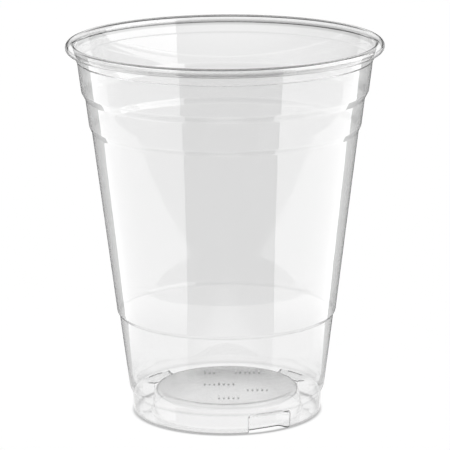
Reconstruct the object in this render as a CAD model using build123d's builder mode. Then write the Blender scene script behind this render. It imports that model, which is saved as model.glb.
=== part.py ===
"""Clear plastic drinking cup, thermoformed from one sheet.

Millimetres, +Z up.  The origin is at the middle of the foot, on the surface that
the cup stands on.  The sheet keeps one thickness from the base panel to the end of
the rolled rim, so the cup is drawn as the outline of its outside and thickened
inwards.
"""
from build123d import *
from math import acos, atan2, cos, degrees, hypot, radians, sin, tan
import os

# ---- whole cup ----
height = 117.5
rim_diameter = 98.0
foot_diameter = 58.6
wall = 0.3

# ---- rolled rim ----
bead_diameter = 3.0
bead_turn = 225.0            # how far round the sheet is rolled, from the wall outwards

# ---- foot and base, heights from the table ----
foot_height = 6.1
foot_lean = 2.5              # degrees from upright
foot_ring_width = 5.8        # flat that stands on the table
shoulder_width = 0.99        # foot out to body wall
shoulder_rise = 2.3
panel_inset = 1.5            # ring's inner edge to the corner of the raised panel
panel_height = 7.3           # underside of the raised panel

# ---- steps in the body wall: how far out, and over what height ----
ledge_height = 31.6          # stacking ledge, from the table
ledge_width = 0.68
ledge_rise = 1.0
lower_grip_depth = 27.8      # grip and collar steps, down from the rim's top
lower_grip_width = 0.84
lower_grip_rise = 1.9
upper_grip_depth = 17.4
upper_grip_width = 1.24
upper_grip_rise = 2.3
collar_depth = 5.6
collar_width = 0.38
collar_rise = 0.4

# ---- bend radii on the outside of the sheet ----
panel_bend = 1.4
ring_inner_bend = 0.7
ring_outer_bend = 1.1
foot_top_bend = 0.35
shoulder_bend = 2.4
ledge_foot_bend = 0.3
ledge_bend = 1.0
grip_foot_bend = 0.8
grip_bend = 1.0
collar_bend = 0.4

# ---- pockets in the foot that keep stacked cups apart ----
pocket_angles = (-63.0, 40.0, 143.0)
pocket_width = 13.4
pocket_depth = 4.6           # foot's outside to the pocket's flat back, at the table
pocket_roof = 0.8            # foot left standing above the pocket
pocket_draft = 4.0           # degrees
pocket_corner = 1.2
pocket_edge = 0.6

# ---- plain raised bars on the base panel: middle x, middle y, how many ----
mark_rows = (
    (-5.5, 14.0, 3),
    (6.5, 14.0, 6),
    (-2.5, 1.0, 7),
    (9.5, -5.5, 5),
    (0.5, -14.0, 5),
)
mark_height = 0.25
mark_length = 3.4
mark_width = 0.6
mark_pitch = 1.5

# ---- worked out from the sizes above ----
bead_radius = bead_diameter / 2
roll_radius = bead_radius - wall             # outside of the wall, carried round the roll
bead_centre = (rim_diameter / 2 - bead_radius, height - bead_radius)
foot_radius = foot_diameter / 2
ring_inner_radius = foot_radius - foot_ring_width
panel_radius = ring_inner_radius - panel_inset
foot_top = (foot_radius + foot_height * tan(radians(foot_lean)), foot_height)
shoulder = (foot_top[0] + shoulder_width, foot_height + shoulder_rise)
step_widths = ledge_width + lower_grip_width + upper_grip_width + collar_width
step_rises = ledge_rise + lower_grip_rise + upper_grip_rise + collar_rise

# One lean carries every band of the wall from the shoulder to the rolled rim, which it
# meets as a tangent: run * cos(lean) - climb * sin(lean) = roll_radius.
run = bead_centre[0] - shoulder[0] - step_widths
climb = bead_centre[1] - shoulder[1] - step_rises
lean = acos(roll_radius / hypot(run, climb)) - atan2(climb, run)


def wall_up_to(start, level):
    """Point where the leaning wall from start reaches a level."""
    return (start[0] + (level - start[1]) * tan(lean), level)


def step_out(start, width, rise):
    """Point at the top of a step that begins at start."""
    return (start[0] + width, start[1] + rise)


ledge_foot = wall_up_to(shoulder, ledge_height)
ledge_top = step_out(ledge_foot, ledge_width, ledge_rise)
lower_grip_foot = wall_up_to(ledge_top, height - lower_grip_depth)
lower_grip_top = step_out(lower_grip_foot, lower_grip_width, lower_grip_rise)
upper_grip_foot = wall_up_to(lower_grip_top, height - upper_grip_depth)
upper_grip_top = step_out(upper_grip_foot, upper_grip_width, upper_grip_rise)
collar_foot = wall_up_to(upper_grip_top, height - collar_depth)
collar_top = step_out(collar_foot, collar_width, collar_rise)
roll_start = (
    bead_centre[0] - roll_radius * cos(lean),
    bead_centre[1] + roll_radius * sin(lean),
)

# Corners of the outside from the base panel up the wall, each with its bend.
corners = (
    ((panel_radius, panel_height), panel_bend),
    ((ring_inner_radius, 0), ring_inner_bend),
    ((foot_radius, 0), ring_outer_bend),
    (foot_top, foot_top_bend),
    (shoulder, shoulder_bend),
    (ledge_foot, ledge_foot_bend),
    (ledge_top, ledge_bend),
    (lower_grip_foot, grip_foot_bend),
    (lower_grip_top, grip_bend),
    (upper_grip_foot, grip_foot_bend),
    (upper_grip_top, grip_bend),
    (collar_foot, collar_bend),
    (collar_top, collar_bend),
)
corner_points = [point for point, bend in corners]
corner_bends = [bend for point, bend in corners]


def draw_outside():
    """Line of the outside from the axis, along the base and up the wall to the roll."""
    return FilletPolyline((0, panel_height), *corner_points, roll_start, radius=corner_bends)


def pocket_block(growth):
    """Block that forms one pocket, facing +X, grown all round by a sheet thickness."""
    seat = foot_radius - pocket_depth - growth
    reach = shoulder[0] - seat
    with BuildPart() as block:
        with BuildSketch(Plane.XY):
            Rectangle(reach, pocket_width + 2 * growth)
        extrude(amount=foot_height - pocket_roof + growth, taper=pocket_draft)
        uprights = block.edges().group_by(Axis.Z)[1]
        fillet(uprights.group_by(Axis.X)[0], radius=pocket_corner + growth)
        fillet(block.faces().sort_by(Axis.Z)[-1].edges(), radius=pocket_edge + growth)
    return Pos(seat + reach / 2, 0, 0) * block.part


# ---- outside of the cup, filled solid up to the roll ----
with BuildPart() as envelope:
    with BuildSketch(Plane.XZ):
        with BuildLine():
            draw_outside()
            Polyline(roll_start, (0, roll_start[1]), (0, panel_height))
        make_face()
    revolve(axis=Axis.Z)

# ---- sheet round each pocket ----
with BuildPart() as pocket_sheets:
    for angle in pocket_angles:
        add(pocket_block(wall), rotation=(0, 0, angle))
    add(envelope.part, mode=Mode.INTERSECT)

# ---- cup ----
with BuildPart() as cup:
    with BuildSketch(Plane.XZ):
        with BuildLine():
            skin = draw_outside()
            JernArc(skin @ 1, skin % 1, radius=roll_radius, arc_size=-bead_turn)
            offset(amount=wall, side=Side.LEFT, kind=Kind.ARC)
        make_face()
    revolve(axis=Axis.Z)
    add(pocket_sheets.part)
    for angle in pocket_angles:
        add(pocket_block(0), rotation=(0, 0, angle), mode=Mode.SUBTRACT)

    # raised bars, rooted half way into the base panel
    with BuildSketch(Plane.XY.offset(panel_height + wall / 2)):
        for x, y, count in mark_rows:
            with Locations((x, y)):
                with GridLocations(mark_pitch, 0, count, 1):
                    Rectangle(mark_width, mark_length)
    extrude(amount=wall / 2 + mark_height)

cup.part.label = "cup"
os.makedirs("parts", exist_ok=True)
export_step(cup.part, "parts/cup.step")
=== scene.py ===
"""Looks of a clear thermoformed drinking cup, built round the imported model.

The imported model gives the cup's size and place.  This script turns its section into a
fine mesh, gives it a clear PET finish, and stands it on a pale table between soft lights.
"""
import logging
import math
from dataclasses import dataclass, field
from enum import Enum
from typing import Any

import bmesh
import bpy
from mathutils import Matrix, Vector


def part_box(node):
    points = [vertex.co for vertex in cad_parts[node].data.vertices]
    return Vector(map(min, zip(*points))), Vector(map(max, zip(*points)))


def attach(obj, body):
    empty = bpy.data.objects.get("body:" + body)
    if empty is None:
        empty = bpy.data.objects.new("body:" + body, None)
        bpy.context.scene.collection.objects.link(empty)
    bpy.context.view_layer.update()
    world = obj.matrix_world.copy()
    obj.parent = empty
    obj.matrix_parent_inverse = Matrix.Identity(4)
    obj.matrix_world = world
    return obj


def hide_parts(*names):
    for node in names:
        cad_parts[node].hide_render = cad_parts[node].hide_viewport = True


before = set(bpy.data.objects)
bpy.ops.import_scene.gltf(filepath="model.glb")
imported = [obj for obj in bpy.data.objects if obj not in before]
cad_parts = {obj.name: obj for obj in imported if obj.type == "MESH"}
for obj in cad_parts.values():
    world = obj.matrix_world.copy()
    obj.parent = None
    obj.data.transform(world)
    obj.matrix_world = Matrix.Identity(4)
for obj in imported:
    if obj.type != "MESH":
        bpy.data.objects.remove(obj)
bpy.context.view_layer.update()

MM = 0.001
LOG = logging.getLogger("cup")


# ---------------------------------------------------------------- colour and nodes
def linear(hex_colour: str) -> tuple[float, float, float, float]:
    """Turn an sRGB hex colour into linear RGBA.

    Args:
        hex_colour: six hex digits, with or without a leading hash.

    Returns:
        Linear red, green, blue and an alpha of 1.
    """
    digits = hex_colour.lstrip("#")
    values = [int(digits[i:i + 2], 16) / 255 for i in (0, 2, 4)]
    r, g, b = [v / 12.92 if v <= 0.04045 else ((v + 0.055) / 1.055) ** 2.4 for v in values]
    return (r, g, b, 1.0)


def add_node(
    tree: bpy.types.NodeTree,
    kind: str,
    settings: dict[str, Any] | None = None,
    inputs: dict[str | int, Any] | None = None,
    links: dict[str | int, bpy.types.NodeSocket] | None = None,
) -> bpy.types.Node:
    """Add a node with its settings, its input values and its incoming links.

    Args:
        tree: node tree to add to.
        kind: the node's bl_idname.
        settings: attributes of the node itself.
        inputs: default values by socket name or index.
        links: output sockets to link from, by socket name or index.

    Returns:
        The new node.
    """
    node = tree.nodes.new(kind)
    for name, value in (settings or {}).items():
        setattr(node, name, value)
    for key, value in (inputs or {}).items():
        node.inputs[key].default_value = value
    for key, socket in (links or {}).items():
        tree.links.new(socket, node.inputs[key])
    return node


def new_material(name: str) -> tuple[bpy.types.Material, bpy.types.NodeTree]:
    """Make a material with an empty node tree.

    Args:
        name: the material's name.

    Returns:
        The material and its tree.
    """
    material = bpy.data.materials.new(name)
    material.use_nodes = True
    material.node_tree.nodes.clear()
    return material, material.node_tree


def distance_from_axis(
    tree: bpy.types.NodeTree, stretch: tuple[float, float, float] = (1.0, 1.0, 0.0),
) -> bpy.types.NodeSocket:
    """Measure how far a point lies from the cup's axis.

    Args:
        tree: node tree to add to.
        stretch: factors on the point's coordinates before it is measured.

    Returns:
        The distance, in metres.
    """
    place = add_node(tree, "ShaderNodeTexCoord").outputs["Object"]
    flat = add_node(
        tree, "ShaderNodeVectorMath", {"operation": "MULTIPLY"}, {1: stretch}, {0: place},
    )
    out = add_node(
        tree, "ShaderNodeVectorMath", {"operation": "LENGTH"}, links={0: flat.outputs["Vector"]},
    )
    return out.outputs["Value"]


def give_tones(ramp: bpy.types.Node, tones: tuple[tuple[float, float], ...]) -> None:
    """Put grey tones on a colour ramp.

    Args:
        ramp: the colour ramp's node, new and with its two first stops.
        tones: place from 0 to 1, and tone, of each stop in rising order.
    """
    stops = ramp.color_ramp.elements
    stops[0].position, stops[1].position = tones[0][0], tones[-1][0]
    for position, _ in tones[1:-1]:
        stops.new(position)
    for stop, (_, tone) in zip(stops, tones):
        stop.color = (tone, tone, tone, 1.0)


# ---------------------------------------------------------------- finishes
@dataclass(frozen=True)
class ClearPET:
    """Clear PET sheet, drawn into a polished mould.

    Amorphous PET is glass-clear with a high refractive index, so its reflections are
    sharp and its bends show as dark lines.  Drawing the sheet leaves it faintly uneven,
    which bends reflections, and slightly grey where it is looked through.  Its colour
    also carries painted shade, in darker bands at the bends and the rolled rim, and a
    painted highlight, a lighter band on the roll's crest.
    """

    # grey tint of the sheet by height, in mm, lighter on the foot and below the ledge; its
    # darker bands at the bends and the rolled rim are painted shade, and its clear roll crest is
    # a painted highlight
    tint_painted_shade_and_highlight: tuple[tuple[float, float], ...] = (
        (0.0, 0.97), (5.9, 0.97), (6.5, 0.78), (7.1, 0.94), (31.2, 0.93), (31.7, 0.84),
        (32.3, 0.90), (34.0, 0.896), (89.9, 0.896), (90.8, 0.84), (91.7, 0.896),
        (100.3, 0.896), (101.3, 0.835), (102.3, 0.896), (111.4, 0.896), (111.9, 0.84),
        (112.4, 0.896), (114.4, 0.896), (114.8, 0.68), (115.6, 0.68), (116.1, 1.0),
    )
    top: float = 117.5               # mm, top of the height scale of the tint and its painted shade
    ior: float = 1.57
    roughness: float = 0.02
    scuff_roughness: float = 0.035
    scuff_size: float = 1.6          # mm
    scuff_start: float = 0.55        # level of the noise where scuffs begin
    scuff_full: float = 0.8          # and where they are full
    ripple_size: float = 14.0        # mm
    ripple_height: float = 0.003     # mm
    base_haze: float = 0.17          # roughness of the undrawn base panel
    base_radius: float = 22.3        # mm
    base_fade: float = 0.8           # mm, over which the haze ends at the panel's edge
    base_level: float = 6.6          # mm, haze starts here
    base_top: float = 8.6            # mm, and ends here
    level_fade: float = 0.3          # mm, over which it starts and ends

    def material(self) -> bpy.types.Material:
        """Build the material.

        Returns:
            The material.
        """
        made, tree = new_material("clear_PET_thermoformed")
        place = add_node(tree, "ShaderNodeTexCoord").outputs["Object"]
        level = add_node(tree, "ShaderNodeSeparateXYZ", links={"Vector": place}).outputs["Z"]
        scuffs = add_node(
            tree, "ShaderNodeTexNoise",
            inputs={"Scale": 1 / (self.scuff_size * MM), "Detail": 3.0},
            links={"Vector": place},
        )
        polish = add_node(
            tree, "ShaderNodeMapRange",
            inputs={
                "From Min": self.scuff_start, "From Max": self.scuff_full,
                "To Min": self.roughness, "To Max": self.scuff_roughness,
            },
            links={"Value": scuffs.outputs["Fac"]},
        )
        ripples = add_node(
            tree, "ShaderNodeTexNoise",
            inputs={"Scale": 1 / (self.ripple_size * MM), "Detail": 1.0},
            links={"Vector": place},
        )
        bump = add_node(
            tree, "ShaderNodeBump",
            inputs={"Strength": 1.0, "Distance": self.ripple_height * MM},
            links={"Height": ripples.outputs["Fac"]},
        )
        shader = add_node(
            tree, "ShaderNodeBsdfPrincipled",
            inputs={"IOR": self.ior, "Transmission Weight": 1.0},
            links={
                "Base Color": self.add_tone(tree, level),
                "Roughness": self.add_haze(tree, level, polish.outputs["Result"]),
                "Normal": bump.outputs["Normal"],
            },
        )
        add_node(tree, "ShaderNodeOutputMaterial", links={"Surface": shader.outputs["BSDF"]})
        return made

    def add_tone(
        self, tree: bpy.types.NodeTree, level: bpy.types.NodeSocket,
    ) -> bpy.types.NodeSocket:
        """Grade the sheet's colour by height, with painted shade at the bends and the rolled rim
        and a painted highlight on the roll's crest.

        Args:
            tree: the material's node tree.
            level: height above the table, in metres.

        Returns:
            The colour.
        """
        share = add_node(
            tree, "ShaderNodeMath", {"operation": "DIVIDE"}, {1: self.top * MM}, {0: level},
        )
        ramp = add_node(tree, "ShaderNodeValToRGB", links={"Fac": share.outputs["Value"]})
        # painted shade in bands at the bends and the rim, and a painted highlight on the roll's
        # crest
        give_tones(ramp, tuple((height / self.top, clear) for height, clear in self.tint_painted_shade_and_highlight))
        return ramp.outputs["Color"]

    def add_haze(
        self, tree: bpy.types.NodeTree, level: bpy.types.NodeSocket,
        polish: bpy.types.NodeSocket,
    ) -> bpy.types.NodeSocket:
        """Roughen the base panel, which the mould barely stretches and so leaves hazy.

        Args:
            tree: the material's node tree.
            level: height above the table, in metres.
            polish: the roughness elsewhere.

        Returns:
            The roughness all over.
        """
        inside = add_node(
            tree, "ShaderNodeMapRange", {"interpolation_type": "SMOOTHSTEP"},
            {
                "From Min": (self.base_radius - self.base_fade) * MM,
                "From Max": self.base_radius * MM, "To Min": 1.0, "To Max": 0.0,
            },
            {"Value": distance_from_axis(tree)},
        )
        above = add_node(
            tree, "ShaderNodeMapRange",
            inputs={
                "From Min": self.base_level * MM,
                "From Max": (self.base_level + self.level_fade) * MM,
            },
            links={"Value": level},
        )
        below = add_node(
            tree, "ShaderNodeMapRange",
            inputs={
                "From Min": (self.base_top - self.level_fade) * MM,
                "From Max": self.base_top * MM, "To Min": 1.0, "To Max": 0.0,
            },
            links={"Value": level},
        )
        mask = inside.outputs["Result"]
        for node in (above, below):
            mask = add_node(
                tree, "ShaderNodeMath", {"operation": "MULTIPLY"},
                links={0: mask, 1: node.outputs["Result"]},
            ).outputs["Value"]
        hazed = add_node(
            tree, "ShaderNodeMapRange", inputs={"To Max": self.base_haze},
            links={"Value": mask, "To Min": polish},
        )
        return hazed.outputs["Result"]


@dataclass(frozen=True)
class PaleTable:
    """Opal acrylic top of a light table, lit from below so that it shows no hard shadow; a soft
    contact shadow round the foot is painted into its glow.
    """

    glow: float = 0.965
    colour: str = "#7C7C7C"
    roughness: float = 0.8
    painted_shadow_glow: float = 0.42          # painted contact shadow: the glow in a ring where the foot stands
    foot_radius: float = 28.6        # mm, middle of the painted shadow's ring
    painted_shadow_width: float = 1.8         # mm, over which the painted shadow fades to the full glow on each side

    def material(self) -> bpy.types.Material:
        """Build the material.

        Returns:
            The material.
        """
        made, tree = new_material("opal_acrylic_table")
        # painted contact shadow: the glow dims in a ring round the foot
        off = add_node(
            tree, "ShaderNodeMath", {"operation": "SUBTRACT"}, {1: self.foot_radius * MM},
            {0: distance_from_axis(tree)},
        )
        gap = add_node(
            tree, "ShaderNodeMath", {"operation": "ABSOLUTE"}, links={0: off.outputs["Value"]},
        )
        glow = add_node(
            tree, "ShaderNodeMapRange", {"interpolation_type": "SMOOTHSTEP"},
            {"From Max": self.painted_shadow_width * MM, "To Min": self.painted_shadow_glow, "To Max": self.glow},
            {"Value": gap.outputs["Value"]},
        )
        shader = add_node(
            tree, "ShaderNodeBsdfPrincipled",
            inputs={
                "Base Color": linear(self.colour), "Roughness": self.roughness,
                "Specular IOR Level": 0.0, "Emission Color": (1.0, 1.0, 1.0, 1.0),
            },
            links={"Emission Strength": glow.outputs["Result"]},
        )
        add_node(tree, "ShaderNodeOutputMaterial", links={"Surface": shader.outputs["BSDF"]})
        return made


# ---------------------------------------------------------------- the sheet's section
class Face(Enum):
    """The sheet's two faces."""

    OUTSIDE = 0
    INSIDE = 1


@dataclass(frozen=True)
class Spot:
    """A point on the outside of the section, in mm, with the way into the sheet."""

    r: float
    z: float
    inward: tuple[float, float]

    def at_depth(self, depth: float) -> tuple[float, float]:
        """Find the point that lies straight in from the outside.

        Args:
            depth: how far into the sheet, in mm.

        Returns:
            The point's distance from the axis and its height, in mm.
        """
        return (self.r + self.inward[0] * depth, self.z + self.inward[1] * depth)


@dataclass(frozen=True)
class Corner:
    """A corner of the outline, in mm, with its bend and the length of the rows up to it."""

    r: float
    z: float
    bend: float
    row_length: float = 8.0


@dataclass(frozen=True)
class Step:
    """A step out in the wall, in mm, with the bends at its foot and at its top."""

    width: float
    rise: float
    foot_bend: float
    top_bend: float


@dataclass
class Section:
    """Section of the cup, all sizes in mm, drawn along the outside of the sheet."""

    height: float
    rim_diameter: float
    foot_diameter: float = 58.6
    wall: float = 0.3
    bead_diameter: float = 3.0
    bead_turn: float = 225.0
    foot_height: float = 6.1
    foot_lean: float = 2.5
    foot_ring_width: float = 5.8
    shoulder_width: float = 0.99
    shoulder_rise: float = 2.3
    panel_inset: float = 1.5
    panel_height: float = 7.3
    panel_bend: float = 1.4
    ring_inner_bend: float = 0.7
    ring_outer_bend: float = 1.1
    foot_top_bend: float = 0.35
    shoulder_bend: float = 2.4
    ledge_height: float = 31.6       # from the table
    lower_grip_depth: float = 27.8   # from the rim's top, as are the next two
    upper_grip_depth: float = 17.4
    collar_depth: float = 5.6
    ledge: Step = Step(0.68, 1.0, foot_bend=0.3, top_bend=1.0)
    lower_grip: Step = Step(0.84, 1.9, foot_bend=0.8, top_bend=1.0)
    upper_grip: Step = Step(1.24, 2.3, foot_bend=0.8, top_bend=1.0)
    collar: Step = Step(0.38, 0.4, foot_bend=0.4, top_bend=0.4)
    bend_row: float = 14.0           # degrees of bend to a row of faces
    roll_row: float = 9.0            # and of the rolled rim
    top_run_row: float = 4.0         # mm to a row between the collar and the roll
    lean: float = field(init=False)
    corners: list[Corner] = field(init=False)
    panel_radius: float = field(init=False)

    def __post_init__(self) -> None:
        """Work out the wall's lean and the corners of the outline."""
        foot_radius = self.foot_diameter / 2
        ring_inner = foot_radius - self.foot_ring_width
        self.panel_radius = ring_inner - self.panel_inset
        foot_top = foot_radius + self.foot_height * math.tan(math.radians(self.foot_lean))
        shoulder = (foot_top + self.shoulder_width, self.foot_height + self.shoulder_rise)
        steps = {
            self.ledge_height: self.ledge,
            self.height - self.lower_grip_depth: self.lower_grip,
            self.height - self.upper_grip_depth: self.upper_grip,
            self.height - self.collar_depth: self.collar,
        }
        run = self.bead_centre[0] - shoulder[0] - sum(step.width for step in steps.values())
        climb = self.bead_centre[1] - shoulder[1] - sum(step.rise for step in steps.values())
        self.lean = math.acos(self.roll_radius / math.hypot(run, climb)) - math.atan2(climb, run)
        self.corners = [
            Corner(self.panel_radius, self.panel_height, self.panel_bend),
            Corner(ring_inner, 0.0, self.ring_inner_bend, row_length=0.6),
            Corner(foot_radius, 0.0, self.ring_outer_bend, row_length=0.4),
            Corner(foot_top, self.foot_height, self.foot_top_bend, row_length=0.12),
            Corner(*shoulder, self.shoulder_bend),
        ]
        here = shoulder
        for level, step in steps.items():
            foot = (here[0] + (level - here[1]) * math.tan(self.lean), level)
            here = (foot[0] + step.width, foot[1] + step.rise)
            self.corners += [Corner(*foot, step.foot_bend), Corner(*here, step.top_bend)]

    @property
    def bead_centre(self) -> tuple[float, float]:
        """Middle of the rolled rim."""
        radius = self.bead_diameter / 2
        return (self.rim_diameter / 2 - radius, self.height - radius)

    @property
    def roll_radius(self) -> float:
        """Radius of the outside of the wall where it is carried round the roll."""
        return self.bead_diameter / 2 - self.wall

    def bend_steps(self, radius: float, turn: float) -> int:
        """Count the rows of faces round a bend.

        Args:
            radius: the bend's radius, in mm.
            turn: its turn, in radians.

        Returns:
            The number of rows.
        """
        return max(2, round(turn / math.radians(self.bend_row)) + round(radius))

    def spots(self) -> list[Spot]:
        """Walk the outside from the edge of the flat panel to the end of the roll.

        Returns:
            Points along the outside, each with the unit way into the sheet.
        """
        cos_lean, sin_lean = math.cos(self.lean), math.sin(self.lean)
        roll_start = Vector((
            self.bead_centre[0] - self.roll_radius * cos_lean,
            self.bead_centre[1] + self.roll_radius * sin_lean,
        ))
        points = [Vector((c.r, c.z)) for c in self.corners]
        before = [Vector((0.0, self.panel_height)), *points[:-1]]
        after = [*points[1:], roll_start]
        found: list[Spot] = []
        for corner, point, last, following in zip(self.corners, points, before, after):
            way_in = (point - last).normalized()
            way_out = (following - point).normalized()
            turn = way_in.cross(way_out)
            angle = math.acos(max(-1.0, min(1.0, way_in.dot(way_out))))
            setback = corner.bend * math.tan(angle / 2)
            side = 1.0 if turn > 0 else -1.0
            start = point - way_in * setback
            if found:
                self.add_run(found, start, corner.row_length)
            middle = start + Vector((-way_in.y, way_in.x)) * corner.bend * side
            count = self.bend_steps(corner.bend, angle)
            for i in range(count + 1):
                spoke = Matrix.Rotation(side * angle * i / count, 2) @ (start - middle)
                inward = -spoke.normalized() * side
                found.append(Spot(*(middle + spoke), tuple(inward)))
        self.add_run(found, roll_start, self.top_run_row)
        centre = Vector(self.bead_centre)
        count = round(self.bead_turn / self.roll_row)
        for i in range(count + 1):
            turned = math.radians(180 - self.bead_turn * i / count) - self.lean
            spoke = Vector((math.cos(turned), math.sin(turned)))
            found.append(Spot(*(centre + spoke * self.roll_radius), tuple(spoke)))
        return found

    @staticmethod
    def add_run(found: list[Spot], end: Vector, row_length: float) -> None:
        """Add the rows between the last spot and the end of a straight run.

        Args:
            found: the spots up to here, which grow by the new ones.
            end: where the run ends, in mm.
            row_length: about how far apart the rows are, in mm.
        """
        start = Vector((found[-1].r, found[-1].z))
        count = max(1, round((end - start).length / row_length))
        for i in range(1, count):
            found.append(Spot(*start.lerp(end, i / count), found[-1].inward))


# ---------------------------------------------------------------- pockets in the foot
@dataclass(frozen=True)
class Pockets:
    """Pockets pressed into the foot, which keep stacked cups apart; sizes in mm."""

    angles: tuple[float, ...] = (-63.0, 40.0, 143.0)
    width: float = 13.4
    depth: float = 4.6
    roof: float = 0.8
    draft: float = 4.0
    side_blend: float = 0.9
    roof_blend: float = 0.55
    reach: float = 25.0              # degrees from a pocket's middle that it can change
    free: float = 1.0                # outside the foot, where nothing is pressed
    squeeze: float = 0.02            # share of the foot's roundness left on a pocket's back
    fine_zone: float = 1.5           # degrees to each side of a pocket's side
    fine_steps: int = 14


def smooth_step(value: float) -> float:
    """Ease from 0 to 1, level at both ends.

    Args:
        value: how far along, held to between 0 and 1.

    Returns:
        The eased value.
    """
    t = max(0.0, min(1.0, value))
    return t * t * (3 - 2 * t)


# ---------------------------------------------------------------- raised bars
@dataclass(frozen=True)
class Bars:
    """Plain raised bars on the base panel, sizes in mm: middle x, middle y, how many."""

    rows: tuple[tuple[float, float, int], ...] = (
        (-5.5, 14.0, 3), (6.5, 14.0, 6), (-2.5, 1.0, 7), (9.5, -5.5, 5), (0.5, -14.0, 5),
    )
    height: float = 0.25
    length: float = 3.4
    width: float = 0.6
    pitch: float = 1.5
    edge: float = 0.12
    end_steps: int = 6               # edges round each end
    edge_steps: int = 3


# ---------------------------------------------------------------- the cup
@dataclass
class Cup:
    """The whole cup: one sheet, with its pockets and its raised bars."""

    section: Section
    pockets: Pockets = field(default_factory=Pockets)
    bars: Bars = field(default_factory=Bars)
    finish: ClearPET = field(default_factory=ClearPET)
    steps: int = 264                 # columns round the cup
    crease: float = 28.0             # degrees, above which an edge stays sharp

    def build(self) -> bpy.types.Object:
        """Make the cup's object.

        Returns:
            The finished cup.
        """
        mesh = bmesh.new()
        inner_edge, outer_edge = self.spin(mesh)
        self.fill_panel(mesh, inner_edge, outer_edge)
        bmesh.ops.recalc_face_normals(mesh, faces=mesh.faces)
        for face in mesh.faces:
            face.smooth = True
        for edge in mesh.edges:
            edge.smooth = edge.calc_face_angle() <= math.radians(self.crease)
        data = bpy.data.meshes.new("clear_cup")
        mesh.to_mesh(data)
        mesh.free()
        made = bpy.data.objects.new("clear_cup", data)
        bpy.context.scene.collection.objects.link(made)
        data.materials.append(self.finish.material())
        return made

    def spin(
        self, mesh: bmesh.types.BMesh,
    ) -> tuple[list[bmesh.types.BMEdge], list[bmesh.types.BMEdge]]:
        """Spin the section round, then space its columns and press in the pockets.

        Args:
            mesh: mesh to build in.

        Returns:
            The edge loops round the panel's top and underside.
        """
        section, spots = self.section, self.section.spots()
        outline = [(*spot.at_depth(0.0), Face.OUTSIDE) for spot in spots]
        # the sheet's cut end, rounded, at the end of the roll
        end, half = spots[-1], section.wall / 2
        for turn in (math.pi / 4, math.pi / 2, math.pi * 3 / 4):
            r, z = end.at_depth(half * (1 - math.cos(turn)))
            out = half * math.sin(turn)
            outline.append((r + end.inward[1] * out, z - end.inward[0] * out, Face.OUTSIDE))
        outline += [(*spot.at_depth(section.wall), Face.INSIDE) for spot in reversed(spots)]
        face_layer = mesh.verts.layers.int.new("face")
        verts = []
        for r, z, face in outline:
            vert = mesh.verts.new((r * MM, 0.0, z * MM))
            vert[face_layer] = face.value
            verts.append(vert)
        edges = [mesh.edges.new(pair) for pair in zip(verts, verts[1:])]
        bmesh.ops.spin(
            mesh, geom=verts + edges, cent=(0, 0, 0), axis=(0, 0, 1), angle=math.tau,
            steps=self.steps, use_merge=True,
        )
        bmesh.ops.remove_doubles(mesh, verts=mesh.verts, dist=1e-8)
        self.place_columns(mesh)
        rims = [edge for edge in mesh.edges if edge.is_boundary]
        top_level = (section.panel_height + section.wall / 2) * MM
        inner = [edge for edge in rims if edge.verts[0].co.z > top_level]
        outer = [edge for edge in rims if edge.verts[0].co.z < top_level]
        return inner, outer

    def column_angles(self) -> list[float]:
        """Space the columns: fine where a pocket has its sides, even elsewhere.

        Returns:
            Each column's angle, in degrees.
        """
        pockets = self.pockets
        half = math.degrees(math.asin(pockets.width / self.section.foot_diameter))
        sides = sorted((a + s * half) % 360 for a in pockets.angles for s in (-1, 1))
        fine = 2 * pockets.fine_zone
        gaps = [
            (following - here) % 360 - fine
            for here, following in zip(sides, sides[1:] + sides[:1])
        ]
        spare = self.steps - len(sides) * pockets.fine_steps
        counts = [round(spare * gap / sum(gaps)) for gap in gaps]
        counts[-1] = spare - sum(counts[:-1])
        angles: list[float] = []
        start = sides[0] - pockets.fine_zone
        for count, gap in zip(counts, gaps):
            angles += [start + fine * i / pockets.fine_steps for i in range(pockets.fine_steps)]
            start += fine
            angles += [start + gap * i / count for i in range(count)]
            start += gap
        return angles

    def place_columns(self, mesh: bmesh.types.BMesh) -> None:
        """Move each column of the spun mesh to its angle and press in the pockets.

        Args:
            mesh: the spun mesh.
        """
        angles = self.column_angles()
        face_layer = mesh.verts.layers.int["face"]
        for vert in mesh.verts:
            column = round(math.atan2(vert.co.y, vert.co.x) / math.tau * self.steps) % self.steps
            r, z = math.hypot(vert.co.x, vert.co.y) / MM, vert.co.z / MM
            angle = angles[column]
            if z < self.section.foot_height + self.section.wall:
                r, z = self.press(r, z, angle, Face(vert[face_layer]))
            turn = math.radians(angle)
            vert.co = Vector((r * math.cos(turn), r * math.sin(turn), z)) * MM

    def press(self, r: float, z: float, angle: float, face: Face) -> tuple[float, float]:
        """Press a point of the foot inwards where a pocket is.

        Args:
            r: distance from the axis, in mm.
            z: height, in mm.
            angle: place round the cup, in degrees.
            face: which face of the sheet the point is on.

        Returns:
            The new distance from the axis and height.
        """
        section, pockets = self.section, self.pockets
        wall = section.wall if face is Face.INSIDE else 0.0
        foot_radius = section.foot_diameter / 2
        for middle in pockets.angles:
            off = math.radians((angle - middle + 180) % 360 - 180)
            if abs(off) > math.radians(pockets.reach):
                continue
            half = math.asin(pockets.width / section.foot_diameter) + wall / foot_radius
            across = (half - abs(off)) * foot_radius / pockets.side_blend
            roof = section.foot_height - pockets.roof + wall
            up = (roof - z) / pockets.roof_blend
            amount = smooth_step(across / 2 + 0.5) * smooth_step(up / 2 + 0.5)
            if amount <= 0:
                continue
            seat = foot_radius - pockets.depth - wall + z * math.tan(math.radians(pockets.draft))
            free = foot_radius + pockets.free
            limit = free + (seat / math.cos(off) - free) * amount
            if r > limit:
                r = limit + pockets.squeeze * (r - limit)
            ring_inner = foot_radius - section.foot_ring_width
            slope = section.panel_inset / section.panel_height
            shift = wall * math.hypot(1.0, slope)
            z = max(z, (ring_inner + shift - r) / slope)
        return r, z

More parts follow.
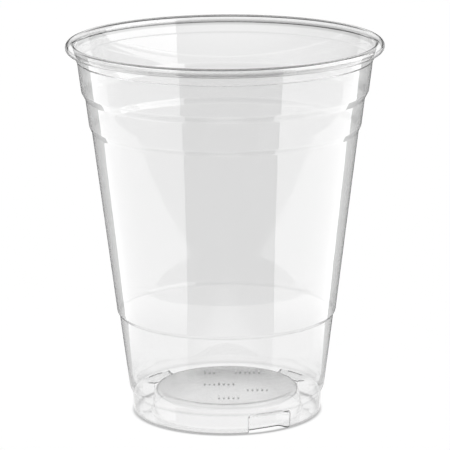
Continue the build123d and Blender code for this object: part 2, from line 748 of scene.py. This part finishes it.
    def fill_panel(
        self, mesh: bmesh.types.BMesh, inner: list[bmesh.types.BMEdge],
        outer: list[bmesh.types.BMEdge],
    ) -> None:
        """Close the panel's underside, and its top round the raised bars.

        Args:
            mesh: mesh to build in.
            inner: edge loop round the panel's top.
            outer: edge loop round its underside.
        """
        bmesh.ops.contextual_create(mesh, geom=outer)
        level = (self.section.panel_height + self.section.wall) * MM
        outlines: list[list[bmesh.types.BMEdge]] = []
        for x, y, count in self.bars.rows:
            for i in range(count):
                middle = x + (i - (count - 1) / 2) * self.bars.pitch
                outlines.append(self.bar_outline(mesh, middle, y, level))
        edges = inner + [edge for outline in outlines for edge in outline]
        bmesh.ops.triangle_fill(mesh, use_beauty=True, edges=edges, normal=(0, 0, 1))
        for outline in outlines:
            raised = bmesh.ops.extrude_edge_only(mesh, edges=outline)["geom"]
            verts = [item for item in raised if isinstance(item, bmesh.types.BMVert)]
            drawn = [item for item in raised if isinstance(item, bmesh.types.BMEdge)]
            bmesh.ops.translate(mesh, verts=verts, vec=(0, 0, self.bars.height * MM))
            top = [edge for edge in drawn if all(vert in verts for vert in edge.verts)]
            bmesh.ops.contextual_create(mesh, geom=top)
            bmesh.ops.bevel(
                mesh, geom=top, offset=self.bars.edge * MM, segments=self.bars.edge_steps,
                profile=0.5, affect="EDGES", material=-1,
            )

    def bar_outline(
        self, mesh: bmesh.types.BMesh, x: float, y: float, level: float,
    ) -> list[bmesh.types.BMEdge]:
        """Draw the rounded outline of one bar, flat on the panel.

        Args:
            mesh: mesh to build in.
            x: the bar's middle along X, in mm.
            y: the bar's middle along Y, in mm.
            level: height of the panel's top, in metres.

        Returns:
            The outline's edges.
        """
        radius, steps = self.bars.width / 2, self.bars.end_steps
        straight = self.bars.length / 2 - radius
        verts = []
        for end in (1, -1):
            for i in range(steps + 1):
                turn = math.pi * i / steps + (0 if end > 0 else math.pi)
                verts.append(mesh.verts.new((
                    (x + radius * math.cos(turn)) * MM,
                    (y + end * straight + radius * math.sin(turn)) * MM,
                    level,
                )))
        return [mesh.edges.new((a, b)) for a, b in zip(verts, verts[1:] + verts[:1])]


# ---------------------------------------------------------------- studio
@dataclass(frozen=True)
class SoftLight:
    """A flat rectangular light with even brightness, hidden from the camera.

    It shines along the cross product of its two sides, in metres.
    """

    name: str
    middle: tuple[float, float, float]
    side_x: tuple[float, float, float]
    side_y: tuple[float, float, float]
    radiance: float

    def build(self) -> bpy.types.Object:
        """Make the light.

        Returns:
            The light's object.
        """
        data = bpy.data.lights.new(self.name, "AREA")
        data.shape = "RECTANGLE"
        x, y = Vector(self.side_x), Vector(self.side_y)
        data.size, data.size_y = x.length, y.length
        # a Lambert panel of this radiance gives off pi * area * radiance
        data.energy = self.radiance * math.pi * x.length * y.length
        light = bpy.data.objects.new(self.name, data)
        # the light shines along its own -Z
        axes = Matrix((x.normalized(), -y.normalized(), -x.cross(y).normalized())).transposed()
        light.matrix_world = Matrix.Translation(self.middle) @ axes.to_4x4()
        light.visible_camera = False
        light.visible_diffuse = False
        bpy.context.scene.collection.objects.link(light)
        return light


def stage_mesh(
    name: str, mesh: bmesh.types.BMesh, finish: bpy.types.Material,
) -> bpy.types.Object:
    """Put a mesh into the studio as something that isn't part of the cup.

    Args:
        name: the object's name.
        mesh: its mesh, which is freed.
        finish: its material.

    Returns:
        The object.
    """
    data = bpy.data.meshes.new(name)
    mesh.to_mesh(data)
    mesh.free()
    data.materials.append(finish)
    made = bpy.data.objects.new(name, data)
    bpy.context.scene.collection.objects.link(made)
    return made


def graded_glow(
    name: str, stretch: tuple[float, float, float], span: tuple[float, float],
    radiance: tuple[float, float],
) -> bpy.types.Material:
    """Make a white glow that changes with the distance from the cup's axis.

    Args:
        name: the material's name.
        stretch: factors on the place before its distance is measured.
        span: distances between which it changes, in metres.
        radiance: strength of the glow up to the first distance and past the second.

    Returns:
        The material.
    """
    made, tree = new_material(name)
    strength = add_node(
        tree, "ShaderNodeMapRange", {"interpolation_type": "SMOOTHSTEP"},
        {
            "From Min": span[0], "From Max": span[1],
            "To Min": radiance[0], "To Max": radiance[1],
        },
        {"Value": distance_from_axis(tree, stretch)},
    )
    glow = add_node(tree, "ShaderNodeEmission", links={"Strength": strength.outputs["Result"]})
    add_node(tree, "ShaderNodeOutputMaterial", links={"Surface": glow.outputs["Emission"]})
    return made


def show_in_reflections(card: bpy.types.Object) -> None:
    """Hide a card from everything but rays that come straight off a surface.

    Args:
        card: the card's object.
    """
    card.visible_camera = False
    card.visible_diffuse = False
    card.visible_transmission = False
    card.visible_shadow = False


@dataclass(frozen=True)
class GlowCard:
    """A glowing card flat on the table, seen only in reflections; sizes in metres.

    It fades towards the foot, so that its reflection has no end low on the wall.
    """

    name: str
    corners: tuple[tuple[float, float], ...]
    radiance: float
    near_radiance: float = 0.7
    fade_start: float = 0.055
    fade_end: float = 0.125
    level: float = 0.0004

    def build(self) -> bpy.types.Object:
        """Make the card.

        Returns:
            The card's object.
        """
        mesh = bmesh.new()
        mesh.faces.new([mesh.verts.new((x, y, self.level)) for x, y in self.corners])
        glow = graded_glow(
            "glowing_card", (1.0, 1.0, 0.0), (self.fade_start, self.fade_end),
            (self.near_radiance, self.radiance),
        )
        card = stage_mesh(self.name, mesh, glow)
        show_in_reflections(card)
        return card


@dataclass(frozen=True)
class ToneCard:
    """A graded disc on the table that shows only in the sheet's reflections, in metres.

    It is white in front of and behind the foot and dark elsewhere, as a real table is
    when the lamps are shaded from all but the cup.
    """

    name: str = "tone_card"
    radius: float = 2.5
    sides: int = 64
    narrowing: float = 3.0           # how much sooner it darkens to the sides
    white_to: float = 0.08
    dark_from: float = 0.15
    white: float = 0.96
    dark: float = 0.03
    level: float = -0.00002

    def build(self) -> bpy.types.Object:
        """Make the card.

        Returns:
            The card's object.
        """
        mesh = bmesh.new()
        bmesh.ops.create_circle(mesh, cap_ends=True, segments=self.sides, radius=self.radius)
        bmesh.ops.translate(mesh, verts=mesh.verts, vec=(0, 0, self.level))
        glow = graded_glow(
            "graded_card", (self.narrowing, 1.0, 0.0), (self.white_to, self.dark_from),
            (self.white, self.dark),
        )
        card = stage_mesh(self.name, mesh, glow)
        show_in_reflections(card)
        return card


@dataclass(frozen=True)
class Studio:
    """Table, lights, dark surroundings and camera, in metres."""

    table_size: float = 6.0
    table_gap: float = 0.00004       # under the foot, so that the two faces don't coincide
    room_tones: tuple[tuple[float, float], ...] = (     # by height, from level to straight up
        (0.12, 0.04), (0.20, 0.95), (0.36, 0.95), (0.50, 0.04),
    )
    side_panel: SoftLight = SoftLight(
        "side_panel", middle=(0.13, -0.025, 0.21), side_x=(0.0, 0.0, 0.18),
        side_y=(0.02, 0.20, 0.0), radiance=1.8,
    )
    right_card: GlowCard = GlowCard(
        "right_card",
        (
            (0.036, -0.045), (0.058, -0.062), (0.21, -0.226), (0.45, -0.10), (0.42, 0.20),
            (0.31, 0.23), (0.05, 0.02),
        ),
        radiance=2.6,
    )
    left_card: GlowCard = GlowCard(
        "left_card",
        (
            (-0.034, -0.048), (-0.05, 0.02), (-0.31, 0.23), (-0.42, 0.20), (-0.45, -0.10),
            (-0.18, -0.27), (-0.050, -0.070),
        ),
        radiance=2.34,
    )
    tone_card: ToneCard = ToneCard()
    eye: tuple[float, float, float] = (-0.0003, -0.9325, 0.2839)
    pitch: float = 13.545            # degrees down
    roll: float = -0.37              # degrees
    lens: float = 246.7              # mm, on a sensor 36 mm wide
    sensor: float = 36.0

    def build(self) -> list[bpy.types.Object]:
        """Make everything that is not part of the cup.

        Returns:
            The studio's pieces.
        """
        scene = bpy.context.scene
        scene.view_settings.view_transform = "Standard"
        # enough for light that crosses both walls and the base, and is reflected on the way
        scene.cycles.max_bounces = 32
        scene.cycles.transmission_bounces = 32
        scene.cycles.glossy_bounces = 16
        table = self.build_table()
        scene.world = self.build_world()
        cards = (self.side_panel, self.right_card, self.left_card, self.tone_card)
        return [table, *(card.build() for card in cards), self.build_camera()]

    def build_table(self) -> bpy.types.Object:
        """Lay the table just under the foot.

        Returns:
            The table.
        """
        mesh = bmesh.new()
        bmesh.ops.create_grid(mesh, x_segments=1, y_segments=1, size=self.table_size / 2)
        bmesh.ops.translate(mesh, verts=mesh.verts, vec=(0, 0, -self.table_gap))
        return stage_mesh("table", mesh, PaleTable().material())

    def build_world(self) -> bpy.types.World:
        """Make dim surroundings with a bright band, so that rim and bends draw dark lines.

        Returns:
            The world.
        """
        world = bpy.data.worlds.new("dim_room")
        world.use_nodes = True
        tree = world.node_tree
        tree.nodes.clear()
        way = add_node(tree, "ShaderNodeTexCoord").outputs["Generated"]
        height = add_node(tree, "ShaderNodeSeparateXYZ", links={"Vector": way})
        ramp = add_node(tree, "ShaderNodeValToRGB", links={"Fac": height.outputs["Z"]})
        give_tones(ramp, self.room_tones)
        background = add_node(
            tree, "ShaderNodeBackground", inputs={"Strength": 1.0},
            links={"Color": ramp.outputs["Color"]},
        )
        add_node(
            tree, "ShaderNodeOutputWorld", links={"Surface": background.outputs["Background"]},
        )
        return world

    def build_camera(self) -> bpy.types.Object:
        """Set the camera at eye height across the table, looking a little down.

        Returns:
            The camera.
        """
        data = bpy.data.cameras.new("camera")
        data.sensor_width = self.sensor
        data.lens = self.lens
        camera = bpy.data.objects.new("camera", data)
        camera.matrix_world = (
            Matrix.Translation(self.eye)
            @ Matrix.Rotation(math.radians(90.0 - self.pitch), 4, "X")
            @ Matrix.Rotation(math.radians(self.roll), 4, "Z")
        )
        bpy.context.scene.collection.objects.link(camera)
        bpy.context.scene.camera = camera
        return camera


def main() -> None:
    """Build the cup and its studio, and report each piece."""
    logging.basicConfig(level=logging.INFO, format="%(message)s")
    low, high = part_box("cup")
    section = Section(height=(high.z - low.z) / MM, rim_diameter=(high.x - low.x) / MM)
    cup = Cup(section).build()
    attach(cup, "root")
    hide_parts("cup")
    LOG.info("%s: %d faces", cup.name, len(cup.data.polygons))
    for piece in Studio().build():
        LOG.info("%s: %s", piece.name, piece.type.lower())


if __name__ == "__main__":
    main()
